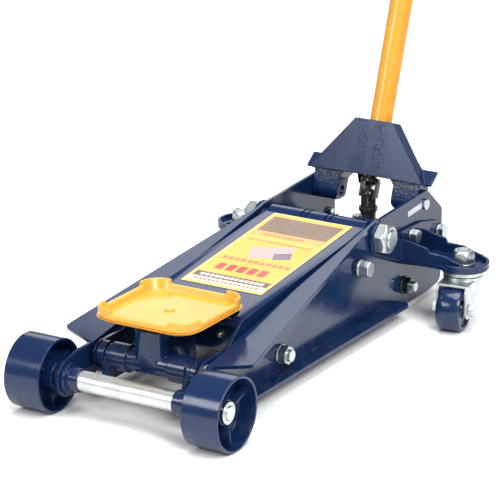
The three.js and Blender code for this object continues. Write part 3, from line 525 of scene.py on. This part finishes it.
# ---- front wheels
wheelShape = {"radius": 47.5, "halfWidth": 25.6, "centre": 128.2, "bore": 9.3, "hub": 17.5, "rimWall": 3.2,
              "rounding": 0.9}
wheelRib = {"angles": (33, 153, 273), "thickness": 4.2, "foot": 15, "rimGap": 1.5, "backGap": 8,
            "frontGap": 11, "rounding": 1.2, "outerRise": 4, "middle": 30}


def frontWheel(side, sign):
    w, f = wheelShape, wheelRib
    r, half = w["radius"], w["halfWidth"]
    inner = r - w["rimWall"]
    ring = [(w["bore"], -half + 1), (w["hub"] + 0.5, -half + 1), (w["hub"] + 1.5, -4), (inner - 3.5, -3),
            (inner, -half), (r, -half), (r, half), (inner, half), (inner - 3.2, 3), (w["hub"] + 1, 2),
            (w["hub"] - 1, half - 15), (w["bore"], half - 15)]
    rim = spun(ring + ring[:1], 96)
    ribs = []
    for angle in f["angles"]:
        rib = block(f["foot"], inner - f["rimGap"], -half + f["backGap"], half - f["frontGap"],
                    -f["thickness"] / 2, f["thickness"] / 2, f["rounding"])
        outerTop = [v for v in rib.verts if v.co.x > f["middle"] / 1000 and v.co.y > 0]
        bmesh.ops.translate(rib, vec=(0, f["outerRise"] / 1000, 0), verts=outerTop)
        bmesh.ops.rotate(rib, cent=(0, 0, 0), matrix=Matrix.Rotation(math.radians(-angle), 3, "Y"),
                         verts=rib.verts)
        ribs.append(rib)
    bm = combine(rim, *ribs)
    bmesh.ops.scale(bm, vec=(1, sign, 1), verts=bm.verts)
    bmesh.ops.translate(bm, vec=place(0, sign * w["centre"], r), verts=bm.verts)
    bmesh.ops.recalc_face_normals(bm, faces=bm.faces)
    finishPiece("front_wheel_casting_" + side, bm, navyWheel, "wheel_" + side, ("front_wheel_" + side,),
                w["rounding"], 3)


for side, sign in bothSides:
    frontWheel(side, sign)
refine("front_axle", groundSteel, 0.8)
refine("spread_rod", zinc, 0.5)
print("front wheels ready")

# ---- casters
for side, _ in bothSides:
    refine("caster_fork_" + side, zinc, 0.6)
    refine("caster_axle_" + side, zinc, 0.5)
    refine("caster_wheel_" + side, navyWheel, 0.7, 3)
    refine("kingpin_nut_" + side, zinc, 0.7)

# ---- fasteners
fastenerRounding = {"lift_nut": 1.0, "stop_bolt": 0.9, "bracket_bolt_front": 0.8, "bracket_bolt_rear": 0.8,
                    "yoke_pin": 0.8, "rod_pin": 0.5, "levelling_rod": 0.6}
for stem, rounding in fastenerRounding.items():
    for side, _ in bothSides:
        refine(stem + "_" + side, zinc, rounding)


unitBoltEnd = {"radius": 7.3, "tip": 6.2, "chamfer": 1.4, "depth": 8.4, "crown": 0.15}


def unitBolt(side, sign):
    refine("unit_bolt_" + side, greenSteel, 0.8)
    low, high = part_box("unit_bolt_" + side)
    tip = high.y if sign > 0 else low.y
    e = unitBoltEnd
    end = spun([(0, -e["depth"]), (e["radius"], -e["depth"]), (e["radius"], -e["chamfer"]), (e["tip"], 0),
                (0, e["crown"])], 40)
    moveTo(end, Vector(((low.x + high.x) / 2, tip, (low.z + high.z) / 2)), (0, sign, 0))
    finishPiece("unit_bolt_end_" + side, end, zinc, "chassis")


for side, sign in bothSides:
    unitBolt(side, sign)
refine("lift_shaft", zinc, 1.2, 3)
refine("saddle_pin", groundSteel, 0.8)
refine("filler_plug", zinc, 0.4)
refine("ram_rod", groundSteel, 0.6)
refine("ram_cylinder", navyPaint, 0.8)
refine("horn_roller", darkSteel, 0.6)
refine("pump_roller", darkSteel, 0.6)
refine("pump_plunger", groundSteel, 0.5)
refine("valve_stem", blackOxide, 0.7)
refine("joint_upper_fork", blackOxide, 0.8)
refine("saddle_screw", yellowPaint, 0.4)
print("fasteners and power unit ready")

# ---- springs
returnShape = {"radius": 4.8, "wire": 1.15, "turns": 30}
plungerShape = {"radius": 7.9, "wire": 1.0, "turns": 8}
springSteel = plated("springSteel", (0.3, 0.31, 0.33, 1), (0.2, 0.2, 0.21, 1), rough=0.3)


def returnSpring(side):
    low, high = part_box("return_spring_" + side)
    middle = (low + high) / 2
    length = (high.x - low.x) * 1000
    wire = returnShape["wire"]
    bm = coil(returnShape["radius"], wire, length - 2 * wire, returnShape["turns"])
    moveTo(bm, Vector((low.x + wire / 1000, middle.y, middle.z)), (1, 0, 0))
    spring = finishPiece("return_coil_" + side, bm, springSteel, None, ("return_spring_" + side,),
                         smoothAngle=60)
    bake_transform(spring)


for side, _ in bothSides:
    returnSpring(side)


def plungerSpring():
    low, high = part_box("plunger_spring")
    middle = (low + high) / 2
    wire = plungerShape["wire"]
    bm = coil(plungerShape["radius"], wire, (high.z - low.z) * 1000 - 2 * wire, plungerShape["turns"])
    moveTo(bm, Vector((middle.x, middle.y, low.z + wire / 1000)), (0, 0, 1))
    spring = finishPiece("plunger_coil", bm, springSteel, None, ("plunger_spring",),
                         smoothAngle=60)
    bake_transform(spring)


plungerSpring()
print("springs ready")

# ---- saddle
refine("saddle", yellowCast, 2.0, 4, 30)

# ---- a shouldered bolt through the arm's front wall, on each side
noseBolt = {"wallX": -141.0, "across": 46.0, "height": 87.0, "collar": 5.6, "collarDepth": 4.2,
            "collarShoulder": 3.2, "end": 3.4, "endTip": 2.5, "endStart": 3.8, "endShoulder": 6.4,
            "endDepth": 7.3, "endCrown": 7.6}


def armBolt(side, sign):
    n = noseBolt
    collar = spun([(0, 0), (n["collar"], 0), (n["collar"], n["collarShoulder"]),
                   (n["collar"] - 1, n["collarDepth"]), (0, n["collarDepth"])], 32)
    end = spun([(0, n["endStart"]), (n["end"], n["endStart"]), (n["end"], n["endShoulder"]),
                (n["endTip"], n["endDepth"]), (0, n["endCrown"])], 32)
    for label, part, material in (("collar", collar, blackOxide), ("end", end, zinc)):
        moveTo(part, place(n["wallX"], sign * n["across"], n["height"]), (1, 0, 0))
        finishPiece("nose_bolt_" + label + "_" + side, part, material, "arm")


for side, sign in bothSides:
    armBolt(side, sign)

# ---- handle
refine("handle_lower", yellowTube, 0.5)
refine("handle_upper", yellowTube, 0.5)
handleLean = {"pivot": (-607, 0, 138.6), "degrees": 18.7}
gripShape = {"foot": 935.0, "top": 1065.0, "bore": 15.8, "tubeTop": 1060.3, "radius": 20.3, "ridge": 21.2,
             "flange": 22.5, "ridges": 22, "plainEnd": 8}


def handleGrip():
    g = gripShape
    step = (g["top"] - g["plainEnd"] - g["foot"] - g["plainEnd"]) / g["ridges"]
    outside = [(g["bore"], g["foot"]), (g["flange"] - 1, g["foot"]), (g["flange"], g["foot"] + 1),
               (g["flange"], g["foot"] + 5), (g["flange"] - 1.5, g["foot"] + 6.5)]
    for index in range(g["ridges"]):
        start = g["foot"] + g["plainEnd"] + index * step
        outside += [(g["radius"], start), (g["ridge"], start + 0.25 * step),
                    (g["ridge"], start + 0.65 * step), (g["radius"], start + 0.9 * step)]
    outside += [(20.5, g["top"] - 6), (18.5, g["top"] - 1.2), (15, g["top"]), (0, g["top"]),
                (0, g["tubeTop"]), (g["bore"], g["tubeTop"]), (g["bore"], g["foot"])]
    bm = spun(outside, 48)
    lean = math.radians(handleLean["degrees"])
    moveTo(bm, place(*handleLean["pivot"]), (-math.sin(lean), 0, math.cos(lean)))
    finishPiece("ribbed_grip", bm, gripRubber, "handle", ("handle_grip",), 0.3, 1)


handleGrip()
print("handle ready")

# ---- printed film on the arm and the blank label
filmColours = {"ground": (0.90, 0.44, 0.07, 1), "faded": (0.84, 0.37, 0.055, 1),
               "edge": (0.93, 0.58, 0.2, 1), "dark": (0.035, 0.035, 0.05, 1),
               "pale": (0.82, 0.78, 0.78, 1), "red": (0.42, 0.05, 0.04, 1), "rust": (0.5, 0.16, 0.07, 1),
               "pink": (0.60, 0.33, 0.36, 1), "grey": (0.10, 0.11, 0.16, 1), "orange": (0.86, 0.33, 0.10, 1),
               "smoke": (0.10, 0.085, 0.08, 1)}
# half sizes inside the edge line, as shares of the film, and the inked share of a dash
filmLayout = {"halfAlong": 0.487, "halfAcross": 0.472, "dashShare": 0.36}
# colour, middle along and across (front end and left edge are 1), half sizes, turn in degrees, dashes
filmShapes = [
    ("smoke", 0.148, 0.5, 0.102, 0.44, 0, 0), ("orange", 0.283, 0.5, 0.031, 0.45, 0, 0),
    ("rust", 0.290, 0.45, 0.011, 0.26, 0, 9), ("rust", 0.372, 0.5, 0.010, 0.40, 0, 14),
    ("pink", 0.499, 0.535, 0.073, 0.243, -21, 0), ("grey", 0.522, 0.70, 0.043, 0.10, -21, 0),
    ("rust", 0.646, 0.52, 0.019, 0.43, 0, 11), ("red", 0.760, 0.475, 0.040, 0.33, 0, 5),
    ("dark", 0.885, 0.5, 0.031, 0.46, 0, 0), ("pale", 0.885, 0.5, 0.014, 0.40, 0, 13),
    ("pale", 0.945, 0.5, 0.028, 0.46, 0, 0), ("rust", 0.945, 0.5, 0.013, 0.40, 0, 15),
]


def inside(tree, value, half):
    return maths(tree, "LESS_THAN", maths(tree, "ABSOLUTE", value, 0), half)


def makeFilm():
    # printed colour blocks only
    material, tree, shader, where = newMaterial("printedFilm", Specular_IOR_Level=0.35)
    split = addNode(tree, "ShaderNodeSeparateXYZ")
    tree.links.new(where, split.inputs[0])
    low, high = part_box("arm_decal")
    length, width = high.x - low.x, high.y - low.y
    fade = ramp(tree, noise(tree, where, 22, 3), 0.3, 0.75)
    fine = ramp(tree, noise(tree, where, 900, 2), 0.35, 0.6, 0.75, 1.0)
    ground = blendColour(tree, fade, filmColours["ground"], filmColours["faded"])
    x = maths(tree, "SUBTRACT", split.outputs["X"], (low.x + high.x) / 2)
    y = maths(tree, "SUBTRACT", split.outputs["Y"], (low.y + high.y) / 2)
    inner = maths(tree, "MULTIPLY", inside(tree, x, filmLayout["halfAlong"] * length),
                  inside(tree, y, filmLayout["halfAcross"] * width))
    colour = blendColour(tree, inner, filmColours["edge"], ground)
    for name, along, across, halfAlong, halfAcross, turn, dashes in filmShapes:
        cosine, sine = math.cos(math.radians(turn)), math.sin(math.radians(turn))
        offX = maths(tree, "SUBTRACT", x, (along - 0.5) * length)
        offY = maths(tree, "SUBTRACT", y, (across - 0.5) * width)
        u = maths(tree, "SUBTRACT", maths(tree, "MULTIPLY", offX, cosine),
                  maths(tree, "MULTIPLY", offY, sine))
        v = maths(tree, "ADD", maths(tree, "MULTIPLY", offX, sine),
                  maths(tree, "MULTIPLY", offY, cosine))
        mask = maths(tree, "MULTIPLY", inside(tree, u, halfAlong * length),
                     inside(tree, v, halfAcross * width))
        if dashes:
            count = maths(tree, "MULTIPLY", v, dashes / (2 * halfAcross * width))
            beat = maths(tree, "PINGPONG", count, 0.5)
            mask = maths(tree, "MULTIPLY", mask, maths(tree, "LESS_THAN", beat, filmLayout["dashShare"]))
        else:
            mask = maths(tree, "MULTIPLY", mask, fine)
        colour = blendColour(tree, mask, colour, filmColours[name])
    tree.links.new(colour, shader.inputs["Base Color"])
    tree.links.new(ramp(tree, noise(tree, where, 30, 4, 0.6), 0.3, 0.75, 0.26, 0.42),
                   shader.inputs["Roughness"])
    return material


refine("arm_decal", makeFilm(), 0.0)


labelColours = {"pale": (0.60, 0.61, 0.65, 1), "shaded": (0.52, 0.53, 0.58, 1)}


def makeLabel():
    material, tree, shader, where = newMaterial("blankFilm", Roughness=0.4)
    fade = ramp(tree, noise(tree, where, 90, 3), 0.35, 0.7)
    tree.links.new(blendColour(tree, fade, labelColours["pale"], labelColours["shaded"]),
                   shader.inputs["Base Color"])
    return material


refine("data_label", makeLabel(), 0.0)
print("films ready")
